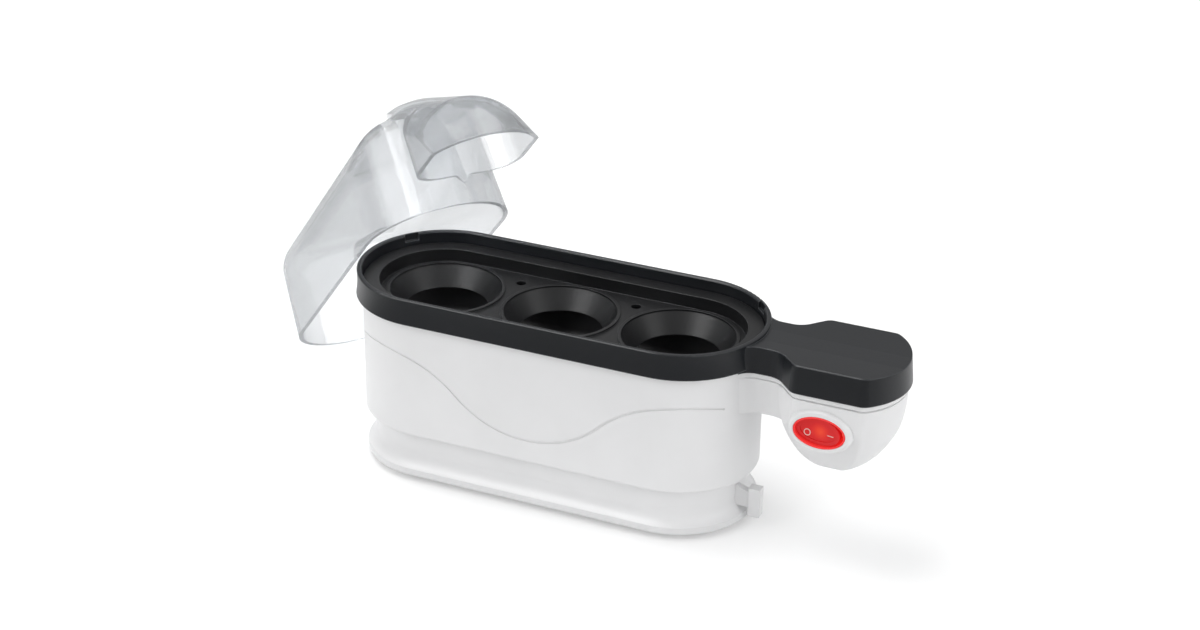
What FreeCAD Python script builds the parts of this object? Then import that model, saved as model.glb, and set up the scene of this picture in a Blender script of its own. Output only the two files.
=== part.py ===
"""A three-cup steam egg boiler with its clear lid leaned on its left end.

The machine is a long oblong tub on a grooved base, with a round-bellied handle on the right.
X runs along the machine towards the handle, Y to the back and Z up. The origin is on the table,
under the middle of the tub. Every length is in millimetres.
"""
import FreeCAD, Part
import math
import os

os.makedirs("parts", exist_ok=True)

# Common sizes
end_centre = 50.2            # from the middle to the centre of each round end
seat_pitch = 49.2            # from one cup seat to the next
foot_height = 2.5            # rubber feet under the base
overrun = 2.0                # how far a cutting shape runs past the face it cuts
part_gap = 0.3               # air left between pieces that move apart
fit_gap = 0.15               # air left round a piece that is pressed or clipped in
flush_gap = 0.05             # air left between a held piece and what it lies against

# White tub
tub_radius = 31.8
tub_wall = 2.2
skirt_return_width = 1.5
skirt_return_thickness = 2.0
skirt_round = 1.6
boss_radius = 4.0
boss_end_step = 10.2         # from the centre of a round end in to the screw pillars
boss_wall_gap = 2.1
boss_web_width = 2.4
lead_window_width = 14.0
lead_window_height = 10.5

# Heights above the underside of the base, from the rim down
rim_height = 78.5            # top of the black collar
cover_step = 0.4             # the handle cover lies this much below the rim
ledge_depth = 6.5            # from the rim down to the ledge that carries the tray
ledge_thickness = 0.8
dish_flange_thickness = 0.8
seal_thickness = 1.0
band_overlap = 1.2           # the collar's band hangs this far over the tub's edge
cover_skirt_step = 1.2       # and the cover's skirt this much further
lip_depth = 2.3              # the white lip that shows under the cover
cover_top_height = rim_height - cover_step
ledge_height = rim_height - ledge_depth
clamp_height = ledge_height - ledge_thickness
tub_height = clamp_height - dish_flange_thickness - seal_thickness
band_height = tub_height - band_overlap
cover_low_height = band_height - cover_skirt_step
lip_height = cover_low_height - lip_depth

# Base pan, from its underside up
base_edge = 3.0
base_edge_round = 0.6
base_step = 0.5              # the base is this much narrower than the tub
base_wall = 2.2
base_floor = 2.2
waist_low = 10.0
groove_width = 8.2           # clear height of the groove that the cord is wound in
skirt_height = waist_low + groove_width
base_lap = 5.8               # how far the base reaches up inside the tub
base_top = skirt_height + base_lap
base_radius = tub_radius - base_step
waist_radius = tub_radius - tub_wall - skirt_return_width - part_gap
waist_bulge_share = 0.3

# Wave line pressed into the walls, running on round both ends
wave_step = 10.0             # from the skirt up to the lowest point of the line
wave_low = skirt_height + wave_step
wave_rise_share = 0.675      # of the height from the line's valley to the collar
wave_rise = (band_height - wave_low) * wave_rise_share
wave_valley_radius = 42.0
wave_crest_radius = 50.0
wave_width = 0.8
wave_depth = 0.35
wave_end_turn = 53.0         # how far the line runs round each end, in degrees
wave_end_steps = 7

# Black collar
collar_low_step = 2.55       # how far its lower edge stands out from the tub
collar_top_inset = 0.4
collar_hollow_depth = 0.35
collar_edge = 0.6
collar_bore_step = 0.1
collar_chamfer = 0.5
ledge_width = 1.3
collar_low_radius = tub_radius + collar_low_step
collar_top_radius = collar_low_radius - collar_top_inset
collar_inner_radius = tub_radius + collar_bore_step
ledge_radius = collar_inner_radius - ledge_width
collar_notch_width = 6.0
collar_notch_depth = 1.0
collar_notch_height = 3.0
collar_notch_turn = 40.0

# Handle, seen from above
neck_length = 8.2            # from the end of the tub to where the neck starts to widen
neck_half_width = 11.7
head_half_width = 20.4
neck_round = 9.0
root_round = 8.0             # fillet where the neck grows out of the tub
root_sink = 0.25             # that fillet's end lies this deep in the wall
shoulder_slope = math.radians(47)
shoulder_round = 4.0
head_length = 24.3
front_round = 4.5
least_round = 0.2
front_radius = 25.2
neck_end_x = end_centre + tub_radius + neck_length
front_centre_x = neck_end_x + head_length
cover_flare = 0.9
cover_wall = 2.0
cover_edge = 0.7
channel_half_width = 4.8
channel_depth = 0.9

# White belly under the handle cover
lip_inset = 0.3
lip_groove_height = 0.8
lip_groove_depth = 0.8
belly_inset = 0.5
arm_depth = 16.1             # from the lip down to the underside of the arm
arm_floor = 2.4
arm_low = lip_height - arm_depth
belly_top_drop = 3.4
belly_top = lip_height - belly_top_drop
belly_depth = 33.4
belly_power = 1.8
belly_back_step = 2.6        # how far the belly's back starts past the neck's end
belly_round = 12.4
belly_middle_step = 23.0     # from there the belly draws in to its lowest point
belly_steps = 7              # outlines from the arm's underside to the lowest point
belly_last_turn = math.radians(86)
flank_steps = 4              # and from the top of the belly down to the arm's underside
flank_step = 0.3             # the belly's flank covers the arm by this much
belly_back_x = neck_end_x + belly_back_step
belly_middle = neck_end_x + belly_middle_step

# Rubber feet
foot_radius = 5.5
foot_seat = 0.8
foot_margin = 5.1
foot_turn = math.radians(55.2)
foot_ring = base_radius - foot_radius - foot_margin
foot_x = end_centre + foot_ring * math.cos(foot_turn)
foot_y = foot_ring * math.sin(foot_turn)

# Cord cleat on the right end
cleat_y = -6.0
cleat_gap = 0.6              # from the tub's end out to the upright post
cleat_post_length = 4.7
cleat_post_width = 4.0
cleat_post_low = 2.4
cleat_drop = 3.6             # from the tub's skirt down to the top of the post
cleat_web_width = 2.6
cleat_web_step = 3.4
cleat_web_drop = 2.4
cleat_root_drop = 3.2
cleat_post_high = skirt_height - cleat_drop
cleat_web_low = cleat_post_low + cleat_web_step
cleat_web_high = cleat_post_high - cleat_web_drop
cleat_web_root_high = skirt_height - cleat_root_drop
cleat_post_x = end_centre + tub_radius + cleat_gap

# Heating dish, seal and cooking tray
dish_flange_radius = tub_radius - part_gap
dish_wall_gap = 1.7
dish_taper = 2.7
dish_wall = 0.8
dish_floor_share = 0.428     # of the height from the top of the base to the dish's flange
dish_round = 6.0
dish_top_radius = tub_radius - tub_wall - dish_wall_gap
dish_low_radius = dish_top_radius - dish_taper
dish_floor_height = base_top + (clamp_height - base_top) * dish_floor_share
seal_inner_radius = tub_radius - tub_wall
tray_side_gap = 0.4
tray_thickness = 1.4
tray_well_gap = 0.5
tray_well_depth = 5.1
tray_well_slope = 0.5
tray_radius = collar_inner_radius - tray_side_gap
tray_well_radius = dish_top_radius - dish_wall - tray_thickness - tray_well_gap
tray_floor_height = ledge_height + part_gap - tray_well_depth
seat_margin = 3.2
seat_taper = 5.5
seat_depth = 7.6
seat_wall = 1.3
seat_ring_height = 0.8
seat_top_radius = tray_well_radius - seat_margin
seat_low_radius = seat_top_radius - seat_taper
seat_low_height = tray_floor_height + tray_thickness - seat_depth
steam_hole_radius = 2.0
steam_hole_y = 17.0

# Heater under the dish
element_radius = 3.2
element_half_width = 14.0
element_end_step = 4.2
element_leg_step = 16.2
element_end_x = end_centre - element_end_step
element_leg_x = element_leg_step - end_centre
element_pin_radius = 1.2
element_pin_length = 9.0
thermostat_radius = 8.0
thermostat_height = 9.5
clip_thickness = 0.8
clip_width = 8.0
fuse_radius = 3.1
fuse_x = 26.0
fuse_clip_width = 5.0
fuse_clip_thickness = 0.6
shield_step = 1.2
shield_thickness = 0.6
shield_drop = 8.2            # from the dish's floor down to the shield
shield_hole_radius = 10.0
shield_radius = dish_low_radius - shield_step
shield_height = dish_floor_height - shield_drop
stud_radius = 2.0
stud_end_step = 7.8
stud_x = end_centre + stud_end_step
nut_radius = 4.0
nut_height = 3.2
boss_gap = 2.0               # from the shield down to the screw pillars
boss_web_gap = 1.5
boss_top = shield_height - boss_gap
boss_web_low = base_top + boss_web_gap
boss_x = end_centre - boss_end_step
boss_y = waist_radius - base_wall - boss_radius - boss_wall_gap

# Switch in the belly, behind a raised oval in the white wall
switch_back = 1.1
switch_drop = 11.9
switch_x = front_centre_x - switch_back
switch_height = lip_height - switch_drop
boss_stand = 0.9             # how far the raised oval stands out past the handle's side
boss_half_length = 12.6
boss_half_height = 9.1
boss_edge = 1.4
boss_edge_depth = 2.8
bezel_wall = 0.6
bezel_face_y = -head_half_width - boss_stand
rocker_half_length = 8.7
rocker_half_height = 5.4
rocker_rim = 1.5             # raised band round the key's sunk middle
rocker_recess = 0.35
rocker_end_gap = 0.75
rocker_side_gap = 0.35
rocker_thickness = 2.7
rocker_dish_radius = 60.0
rocker_dish_depth = 1.0
rocker_angle = 5.0
rocker_boss_length = 6.0
rocker_boss_height = 6.4
pivot_depth = 6.2
pivot_radius = 1.3
pivot_reach = 5.4
pivot_gap = 0.05
switch_front_depth = 4.5
switch_half_length = 9.4
switch_half_height = 6.0
switch_depth = 13.0
switch_cavity_depth = 6.5
switch_wall = 1.6
tab_width = 4.8
tab_thickness = 0.8
tab_length = 8.0
tab_pitch = 5.8
lamp_radius = 1.9
lamp_length = 7.0
bezel_half_length = rocker_half_length + rocker_end_gap + bezel_wall
bezel_half_height = rocker_half_height + rocker_side_gap + bezel_wall

# Mains parts on the base floor
block_length = 26.0
block_width = 12.0
block_height = 9.0
block_x = 8.0
block_y = 10.0
bush_radius = 4.2
bush_bore = 2.6
bush_length = 9.0
bush_flange = 1.4
bush_x = -30.0
bush_share = 0.39            # of the groove's height, to the middle of the bush
bush_height = waist_low + groove_width * bush_share
clamp_length = 16.0
clamp_width = 7.0
clamp_thickness = 3.0
screw_radius = 1.5
screw_head_radius = 3.0
screw_head_height = 1.3
screw_length = 12.0
arm_screw_back = 1.8
arm_screw_x = neck_end_x - arm_screw_back
arm_post_radius = 3.4

# Insulated wires
lead_radius = 0.9
lead_step = 4.5              # from one wire to the next where they run side by side
lane_share = 0.4             # of that step, from the block's middle to the nearest lane
lead_corner_share = 0.45     # of the shorter run at each corner, if that is less than the bend
lead_bend = 3.0

# Clear lid, in its own frame: X along the lid, Z from the rim plane to the crown
lid_half = 49.2
lid_radius = 30.0
lid_wall = 1.8
lid_side_height = 28.0
lid_top_inset = 1.4
lid_shoulder_radius = 12.5
lid_crown_height = 43.5
lid_crown_mid_share = 0.75
grip_back_step = 12.5        # from the lid's end wall out to the back of the hood
grip_half_width = 22.0
grip_corner = 11.5
grip_front_step = 15.8       # from the hood's back to the centre of its bowed front
grip_front_radius = 25.0
grip_low = 6.6
grip_side_height = 15.0
grip_crown_height = 29.4
grip_crease_step = 22.9      # and to the crease in its roof
grip_fall_share = 0.44
grip_lean_share = 0.8
grip_neck_half_width = 14.0
grip_tooth_width = 6.0
grip_tooth_drop = 3.2
grip_back_x = lid_half + lid_radius + grip_back_step
grip_front_centre = grip_back_x + grip_front_step
grip_crease_x = grip_back_x + grip_crease_step

# How the lid leans on the machine
lid_yaw = -37.7
lid_lean = 44.7
lid_roll = -1.9


vec = FreeCAD.Vector
up = vec(0, 0, 1)
origin = vec(0, 0, 0)
ends = (-1, 1)
quarters = [(sx, sy) for sx in ends for sy in ends]


# Shapes that several pieces share

def outline(points, place):
    """A closed wire: two numbers draw a line to a point, four draw an arc through one to the next."""
    edges = []
    start = points[0]
    for point in list(points[1:]) + [points[0]]:
        a = place(*start[-2:])
        b = place(*point[-2:])
        if len(point) == 4:
            edges.append(Part.Arc(a, place(*point[:2]), b).toShape())
        elif (b - a).Length > 0:
            edges.append(Part.LineSegment(a, b).toShape())
        start = point
    return Part.Wire(edges)


def section(points):
    """A face in the XZ plane from distances out of the middle and heights."""
    return Part.Face(outline(points, lambda r, z: vec(r, 0, z)))


def oblong(points, half=end_centre):
    """Carries a section round the oblong: two straight sides and two half turns."""
    near = section(points)
    near.rotate(origin, up, -90)
    right = near.revolve(origin, up, 180)
    right.translate(vec(half, 0, 0))
    left = right.mirror(origin, vec(1, 0, 0))
    near.translate(vec(-half, 0, 0))
    front = near.extrude(vec(2 * half, 0, 0))
    back = front.mirror(origin, vec(0, 1, 0))
    return front.fuse([right, left, back]).removeSplitter()


def box(x, y, z):
    """A block between the lowest and highest value on each axis."""
    return Part.makeBox(x[1] - x[0], y[1] - y[0], z[1] - z[0], vec(x[0], y[0], z[0]))


def rod(radius, start, end):
    """A round bar between two points."""
    return Part.makeCylinder(radius, (end - start).Length, start, end - start)


def peg(radius, x, y, low, high):
    """An upright round bar."""
    return rod(radius, vec(x, y, low), vec(x, y, high))


def one_solid(shape):
    """The tidy single solid of a shape."""
    tidy = shape.removeSplitter()
    return tidy.Solids[0] if len(tidy.Solids) == 1 else tidy


def plan_wire(lower, apex, z, scale=1, pivot=0):
    """A wire in plan from its lower half, an end arc through the apex, and the mirrored half."""
    steps = list(lower) + [(apex, 0, lower[-1][-2], -lower[-1][-1])]
    for step, before in zip(lower[:0:-1], lower[-2::-1]):
        mid = (step[0], -step[1]) if len(step) == 4 else ()
        steps.append(mid + (before[-2], -before[-1]))
    return outline(steps, lambda x, y: vec(pivot + (x - pivot) * scale, y * scale, z))


def turn_point(centre, radius, angle):
    """A point on a circle in plan, with the angle from -Y towards +X, in radians."""
    return (centre[0] + radius * math.sin(angle), centre[1] - radius * math.cos(angle))


def front_steps(grow):
    """The head's side, its front corner, and the start of the bowed end."""
    side = head_half_width + grow
    end = front_radius + grow
    corner = max(front_round + grow, least_round)
    depth = side - corner
    across = math.sqrt((end - corner) ** 2 - depth ** 2)
    centre = (front_centre_x + across, -depth)
    turn = math.atan2(across, depth)
    mid = turn_point(centre, corner, turn / 2)
    return [(centre[0], -side), mid + turn_point(centre, corner, turn)]


def root_steps(grow, ring):
    """A fillet out of a round end of a given radius into the side of the neck."""
    bend = root_round - grow
    across = neck_half_width + root_round
    reach = ring - root_sink + bend
    turn = math.asin(across / reach)
    centre = (end_centre + reach * math.cos(turn), -across)
    first = turn_point(centre, bend, -math.pi / 2 - turn)
    mid = turn_point(centre, bend, math.pi + (math.pi / 2 - turn) / 2)
    return [first, mid + (centre[0], bend - across)]


def neck_steps(grow):
    """The neck's side, the slant out to the head and the shoulder on it."""
    bend = neck_round - grow
    centre = (neck_end_x, -neck_half_width - neck_round)
    leave = turn_point(centre, bend, math.pi - shoulder_slope)
    side = -head_half_width - grow
    run = (leave[1] - side) / math.tan(shoulder_slope)
    shoulder = max(shoulder_round + grow, least_round)
    trim = shoulder * math.tan(shoulder_slope / 2)
    middle = (leave[0] + run + trim, side + shoulder)
    return [(neck_end_x, -neck_half_width - grow),
            turn_point(centre, bend, math.pi - shoulder_slope / 2) + leave,
            turn_point(middle, shoulder, -shoulder_slope),
            turn_point(middle, shoulder, -shoulder_slope / 2) + (middle[0], side)]


def handle_wire(grow, z, root):
    """The handle in plan: neck, two slanted shoulders and the broad head with its bowed end."""
    return plan_wire(root + neck_steps(grow) + front_steps(grow), front_centre_x + front_radius + grow, z)


def grown_wire(grow, z, ring):
    """The handle in plan, with fillets out of the round end that it grows from."""
    return handle_wire(grow, z, root_steps(grow, ring))


def inner_wire(grow, z, start):
    """The handle in plan, cut off square at a given X, for the hollows."""
    return handle_wire(grow, z, [(start, -neck_half_width - grow)])


def belly_wire(grow, z, scale):
    """The head alone in plan, with a rounded back, shrunk about its middle."""
    corner = belly_round + grow
    centre = (belly_back_x + belly_round, belly_round - head_half_width)
    lower = [turn_point(centre, corner, -math.pi / 2),
             turn_point(centre, corner, -math.pi / 4) + (centre[0], centre[1] - corner)]
    lower += front_steps(grow)
    return plan_wire(lower, front_centre_x + front_radius + grow, z, scale, belly_middle)


def stack(wires, ruled=True):
    """A solid through closed wires, one above the other."""
    return Part.makeLoft(wires, True, ruled)


# White tub with the arm and the hollow belly of the handle, one moulding

def belly_scale(z, inset):
    depth = (belly_top - z) / (belly_depth - inset)
    return (1 - depth ** belly_power) ** (1 / belly_power)


arm_taper = head_half_width * (1 - belly_scale(arm_low, 0))


def bowl_wires(inset):
    """Outlines of the bowl from the arm's underside down, set in by a wall."""
    full = belly_scale(arm_low, inset)
    grow = -belly_inset - arm_taper - inset
    start = math.acos(full ** (belly_power / 2))
    wires = []
    for step in range(belly_steps + 1):
        turn = start + (belly_last_turn - start) * step / belly_steps
        z = belly_top - (belly_depth - inset) * math.sin(turn) ** (2 / belly_power)
        wires.append(belly_wire(grow, z, math.cos(turn) ** (2 / belly_power) / full))
    return wires


def belly_form():
    """The belly's outside: rounded flanks from the lip down, and the bowl below them in one smooth skin."""
    flanks = []
    for step in range(flank_steps):
        z = belly_top + (arm_low - belly_top) * step / flank_steps
        flanks.append(belly_wire(-belly_inset - head_half_width * (1 - belly_scale(z, 0)), z, 1))
    top = Part.Face(flanks[0]).extrude(vec(0, 0, belly_top_drop))
    under_lip = Part.Face(inner_wire(-lip_inset, arm_low, end_centre)).extrude(vec(0, 0, arm_depth))
    beside = box((end_centre, front_centre_x + front_radius + overrun), (-tub_radius, tub_radius),
                 (arm_low, lip_height)).cut(under_lip)
    return stack(flanks + bowl_wires(0), False).fuse(top).cut(beside)


def belly_hollow(top):
    """The room inside the bowl, with a straight neck up to a given height."""
    wires = bowl_wires(tub_wall)
    return stack(wires, False).fuse(Part.Face(wires[0]).extrude(vec(0, 0, top - arm_low)))


def wave_band(side):
    """One pressed line: a valley between two crests, drawn as a band of constant width."""
    total = wave_valley_radius + wave_crest_radius
    turn = math.acos(1 - wave_rise / total)
    reach = total * math.sin(turn)
    crest_z = wave_low + wave_rise - wave_crest_radius
    valley = (0, wave_low + wave_valley_radius)

    def at(centre, radius, angle):
        return (centre[0] + radius * math.sin(angle), centre[1] + radius * math.cos(angle))

    def crest(sign, offset, angle):
        return at((sign * reach, crest_z), wave_crest_radius + offset, angle)

    half = wave_width / 2
    edge = math.asin((reach - end_centre) / wave_crest_radius)
    rows = []
    for offset in (half, -half):
        low = wave_valley_radius - offset
        meet = at(valley, low, math.pi - turn)
        rows.append([crest(-1, offset, edge),
                     crest(-1, offset, (edge + turn) / 2) + (-meet[0], meet[1]),
                     at(valley, low, math.pi) + meet,
                     crest(1, offset, -(edge + turn) / 2) + crest(1, offset, -edge)])
    upper, lower = rows
    back = [lower[-1][-2:]]
    for step, before in zip(lower[:0:-1], lower[-2::-1]):
        back.append(step[:2] + before[-2:])
    wire = outline(upper + back, lambda x, z: vec(x, side * (tub_radius - wave_depth), z))
    return Part.Face(wire).extrude(vec(0, side * (wave_depth + overrun), 0))


def wave_turn(sx, sy):
    """The same line carried on round one quarter of an end, by the length along the wall."""
    total = wave_valley_radius + wave_crest_radius
    reach = total * math.sin(math.acos(1 - wave_rise / total))
    crest_z = wave_low + wave_rise - wave_crest_radius
    half = wave_width / 2
    wires = []
    for step in range(wave_end_steps + 1):
        turn = math.radians(wave_end_turn) * step / wave_end_steps
        along = end_centre + tub_radius * turn - reach
        z = crest_z + math.sqrt(wave_crest_radius ** 2 - along ** 2)
        corners = []
        for radius, height in ((tub_radius - wave_depth, z - half), (tub_radius + overrun, z - half),
                               (tub_radius + overrun, z + half), (tub_radius - wave_depth, z + half)):
            x = sx * (end_centre + radius * math.sin(turn))
            corners.append(vec(x, sy * radius * math.cos(turn), height))
        wires.append(Part.makePolygon(corners + corners[:1]))
    return stack(wires, False)


def oval_wire(half_length, half_height, y):
    """An upright oval about the middle of the switch."""
    curve = Part.Ellipse(vec(switch_x, y, switch_height), half_length, half_height)
    edge = curve.toShape()
    edge.rotate(vec(switch_x, y, switch_height), vec(1, 0, 0), 90)
    return Part.Wire(edge)


def oval(half_length, half_height, front, depth):
    """An oval bar at the switch, from a given face back into the handle."""
    return Part.Face(oval_wire(half_length, half_height, front)).extrude(vec(0, depth, 0))


def bosses():
    """Screw pillars inside the tub, each webbed to the wall."""
    inner = tub_radius - tub_wall / 2
    pillars = []
    for sx, sy in quarters:
        x = sx * boss_x
        y = sy * boss_y
        pillars.append(peg(boss_radius, x, y, base_floor, boss_top))
        web = (x - boss_web_width / 2, x + boss_web_width / 2)
        pillars.append(box(web, sorted((y, sy * inner)), (boss_web_low, boss_top)))
    return pillars


def pilots(radius, low, high):
    """Bars on the screw axes of the tub, for holes."""
    return [peg(radius, sx * boss_x, sy * boss_y, low, high) for sx, sy in quarters]


arm_cavity_start = end_centre + tub_radius + fit_gap
arm_screw_hole = screw_radius + fit_gap
pivot_y = bezel_face_y + pivot_depth
switch_front = bezel_face_y + switch_front_depth


def lip_groove():
    """A thin groove under the lip of the handle, outside the tub's own wall."""
    low = lip_height - lip_groove_height
    depth = -belly_inset - lip_groove_depth
    outer = Part.Face(grown_wire(overrun, low, tub_radius)).extrude(vec(0, 0, lip_groove_height))
    inner = Part.Face(grown_wire(depth, low, tub_radius)).extrude(vec(0, 0, lip_groove_height))
    tub = oblong([(0, low), (tub_radius, low), (tub_radius, lip_height), (0, lip_height)])
    return outer.cut([inner, tub])


def switch_boss():
    """The raised oval round the switch, its front edge rounded over."""
    wires = []
    for part in range(4):
        turn = part * math.pi / 6
        inset = boss_edge * (1 - math.sin(turn))
        y = bezel_face_y + boss_edge_depth * (1 - math.cos(turn))
        wires.append(oval_wire(boss_half_length - inset, boss_half_height - inset, y))
    root = oval(boss_half_length, boss_half_height, bezel_face_y + boss_edge_depth, boss_edge_depth)
    return stack(wires, False).fuse(root)


def make_tub():
    wall_in = tub_radius - tub_wall
    lip_in = wall_in - skirt_return_width
    skirt_top = skirt_height + skirt_return_thickness
    corner = skirt_round * (1 - math.sqrt(0.5))
    shell = oblong([(wall_in, tub_height), (wall_in, skirt_top), (lip_in, skirt_top),
                    (lip_in, skirt_height), (tub_radius - skirt_round, skirt_height),
                    (tub_radius - corner, skirt_height + corner, tub_radius, skirt_height + skirt_round),
                    (tub_radius, tub_height)])
    lip = stack([grown_wire(-lip_inset, lip_height, tub_radius),
                 grown_wire(-lip_inset, cover_low_height, tub_radius)])
    arm = stack([grown_wire(-belly_inset - arm_taper - flank_step, arm_low, tub_radius),
                 grown_wire(-belly_inset - flank_step, lip_height, tub_radius)])
    handle = lip.fuse([arm, belly_form(), switch_boss()])
    room = wall_in + flush_gap
    handle = handle.cut(oblong([(0, skirt_top), (room, skirt_top), (room, tub_height), (0, tub_height)]))
    body = shell.fuse([handle] + bosses())

    inset = tub_wall + belly_inset
    floor_top = arm_low + arm_floor
    hollow = stack([inner_wire(-inset - arm_taper, floor_top, arm_cavity_start),
                    inner_wire(-inset, cover_low_height + overrun, arm_cavity_start)])
    window_low = floor_top + part_gap
    window = box((end_centre + wall_in - overrun, arm_cavity_start + overrun),
                 (-lead_window_width / 2, lead_window_width / 2),
                 (window_low, window_low + lead_window_height))
    below = arm_low - overrun
    screw_hole = peg(arm_screw_hole, arm_screw_x, 0, below, lip_height)
    screw_seat = peg(screw_head_radius + fit_gap, arm_screw_x, 0, below, arm_low + screw_head_height)
    switch_hole = oval(bezel_half_length + fit_gap, bezel_half_height + fit_gap, bezel_face_y - overrun,
                       switch_front_depth + 2 * overrun)
    long = switch_half_length + fit_gap
    high = switch_half_height + fit_gap
    switch_seat = box((switch_x - long, switch_x + long), (switch_front - fit_gap, 0),
                      (switch_height - high, switch_height + high))
    cuts = [hollow, belly_hollow(floor_top + overrun), window, screw_hole, screw_seat]
    cuts += [switch_hole, switch_seat, lip_groove(), wave_band(-1), wave_band(1)]
    cuts += [wave_turn(sx, sy) for sx, sy in quarters]
    cuts += pilots(screw_radius + flush_gap, base_floor - overrun, base_floor + screw_length)
    return one_solid(body.cut(cuts))


# Black collar and handle cover, one moulding

def cover_form():
    """The drafted cover of the handle, with a rounded top edge on the outside."""
    ring = collar_top_radius - collar_hollow_depth
    top = cover_top_height
    below = grown_wire(0, top - cover_edge, ring)
    solid = stack([grown_wire(cover_flare, cover_low_height, ring), below])
    for part in range(1, 4):
        angle = part * math.pi / 6
        inset = cover_edge * (1 - math.cos(angle))
        above = grown_wire(-inset, top - cover_edge * (1 - math.sin(angle)), ring)
        solid = solid.fuse(stack([below, above]))
        below = above
    return solid


def deck_channel():
    """What is cut away along the top of the cover, so that its deck dips towards the middle."""
    deck = cover_top_height
    sunk = deck - channel_depth
    half = head_half_width
    flat = channel_half_width
    face = Part.Face(outline([(-half, deck), (-flat, sunk), (flat, sunk), (half, deck),
                              (half, deck + overrun), (-half, deck + overrun)],
                             lambda y, z: vec(end_centre, y, z)))
    return face.extrude(vec(front_centre_x + front_radius + overrun - end_centre, 0, 0))


def rim_notches():
    """One shallow notch in the collar's inner edge at each end."""
    notches = []
    turn = math.radians(collar_notch_turn)
    half = collar_notch_width / 2
    for sx in ends:
        notch = box((-collar_notch_depth, collar_notch_depth), (-half, half),
                    (rim_height - collar_notch_height, rim_height + overrun))
        notch.translate(vec(collar_inner_radius, 0, 0))
        notch.rotate(origin, up, collar_notch_turn if sx > 0 else math.degrees(math.pi - turn))
        notch.translate(vec(sx * end_centre, 0, 0))
        notches.append(notch)
    return notches


def make_collar():
    round_mid = collar_edge * (1 - math.sqrt(0.5))
    hook = tub_radius + fit_gap
    waist = (collar_low_radius + collar_top_radius) / 2 - collar_hollow_depth
    ring = oblong([(hook, band_height), (collar_low_radius, band_height),
                   (waist, (band_height + rim_height) / 2, collar_top_radius, rim_height - collar_edge),
                   (collar_top_radius - round_mid, rim_height - round_mid,
                    collar_top_radius - collar_edge, rim_height),
                   (collar_inner_radius + collar_chamfer, rim_height),
                   (collar_inner_radius, rim_height - collar_chamfer), (collar_inner_radius, ledge_height),
                   (ledge_radius, ledge_height), (ledge_radius, clamp_height), (hook, clamp_height)])
    low = cover_low_height - overrun
    high = rim_height + overrun
    inner = oblong([(0, low), (hook, low), (hook, clamp_height), (collar_inner_radius, clamp_height),
                    (collar_inner_radius, high), (0, high)])
    ceiling = cover_top_height - channel_depth - cover_wall
    cave_start = end_centre + collar_low_radius
    cave = stack([inner_wire(cover_flare - cover_wall, low, cave_start),
                  inner_wire(-cover_wall, ceiling, cave_start)])
    cover = cover_form().cut([deck_channel(), inner, cave])
    post_low = arm_low + arm_floor + flush_gap
    post = peg(arm_post_radius, arm_screw_x, 0, post_low, ceiling + cover_wall / 2)
    pilot = peg(screw_radius + flush_gap, arm_screw_x, 0, post_low - overrun,
                arm_low + screw_head_height + screw_length + part_gap)
    return one_solid(ring.fuse([cover, post]).cut([pilot] + rim_notches()))


# Base pan with the groove that the cord is wound in

def make_base():
    inner = waist_radius - base_wall
    corner = base_edge_round * (1 - math.sqrt(0.5))
    bulge = (waist_radius + (base_radius - waist_radius) * waist_bulge_share,
             base_edge + (waist_low - base_edge) * waist_bulge_share)
    pan = oblong([(0, 0), (base_radius - base_edge_round, 0),
                  (base_radius - corner, corner, base_radius, base_edge_round), (base_radius, base_edge),
                  bulge + (waist_radius, waist_low), (waist_radius, base_top), (inner, base_top),
                  (inner, base_floor), (0, base_floor)])
    cuts = pilots(screw_radius + fit_gap, -overrun, base_floor + overrun)
    cuts += pilots(screw_head_radius + fit_gap, -overrun, screw_head_height)
    seat = foot_radius + flush_gap
    cuts += [peg(seat, sx * foot_x, sy * foot_y, -overrun, foot_seat) for sx, sy in quarters]
    cuts.append(rod(bush_radius - bush_flange + flush_gap, vec(bush_x, inner - overrun, bush_height),
                    vec(bush_x, waist_radius + overrun, bush_height)))
    return one_solid(pan.cut(cuts))


def make_feet():
    return Part.makeCompound([peg(foot_radius, sx * foot_x, sy * foot_y, -foot_height, foot_seat)
                              for sx, sy in quarters])


def make_cleat(base):
    """A web that grows out of the groove and ends in an upright post, to hook the cord's end on."""
    half = cleat_web_width / 2
    root = end_centre + waist_radius - cleat_web_width
    face = Part.Face(outline([(root, cleat_web_low), (cleat_post_x + half, cleat_web_low),
                              (cleat_post_x + half, cleat_web_high), (root, cleat_web_root_high)],
                             lambda x, z: vec(x, cleat_y - half, z)))
    web = face.extrude(vec(0, cleat_web_width, 0))
    post = box((cleat_post_x, cleat_post_x + cleat_post_length),
               (cleat_y - cleat_post_width / 2, cleat_y + cleat_post_width / 2),
               (cleat_post_low, cleat_post_high))
    inside = peg(waist_radius - base_wall / 2, end_centre, 0, 0, skirt_height)
    return one_solid(web.fuse(post).cut([base, inside]))


# Dish, seal and cooking tray

def make_dish():
    low = clamp_height - dish_flange_thickness
    arc_out = dish_round * (1 - math.sqrt(0.5))
    arc_in = dish_wall + (dish_round - dish_wall) * (1 - math.sqrt(0.5))
    floor = dish_floor_height
    foot = dish_low_radius - dish_round
    bend = floor + dish_round
    return one_solid(oblong([
        (0, floor), (foot, floor), (dish_low_radius - arc_out, floor + arc_out, dish_low_radius, bend),
        (dish_top_radius, low), (dish_flange_radius, low), (dish_flange_radius, clamp_height),
        (dish_top_radius - dish_wall, clamp_height), (dish_low_radius - dish_wall, bend),
        (dish_low_radius - arc_in, floor + arc_in, foot, floor + dish_wall), (0, floor + dish_wall)]))


def make_seal():
    top = clamp_height - dish_flange_thickness
    return one_solid(oblong([(seal_inner_radius, tub_height), (dish_flange_radius, tub_height),
                             (dish_flange_radius, top), (seal_inner_radius, top)]))


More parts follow.
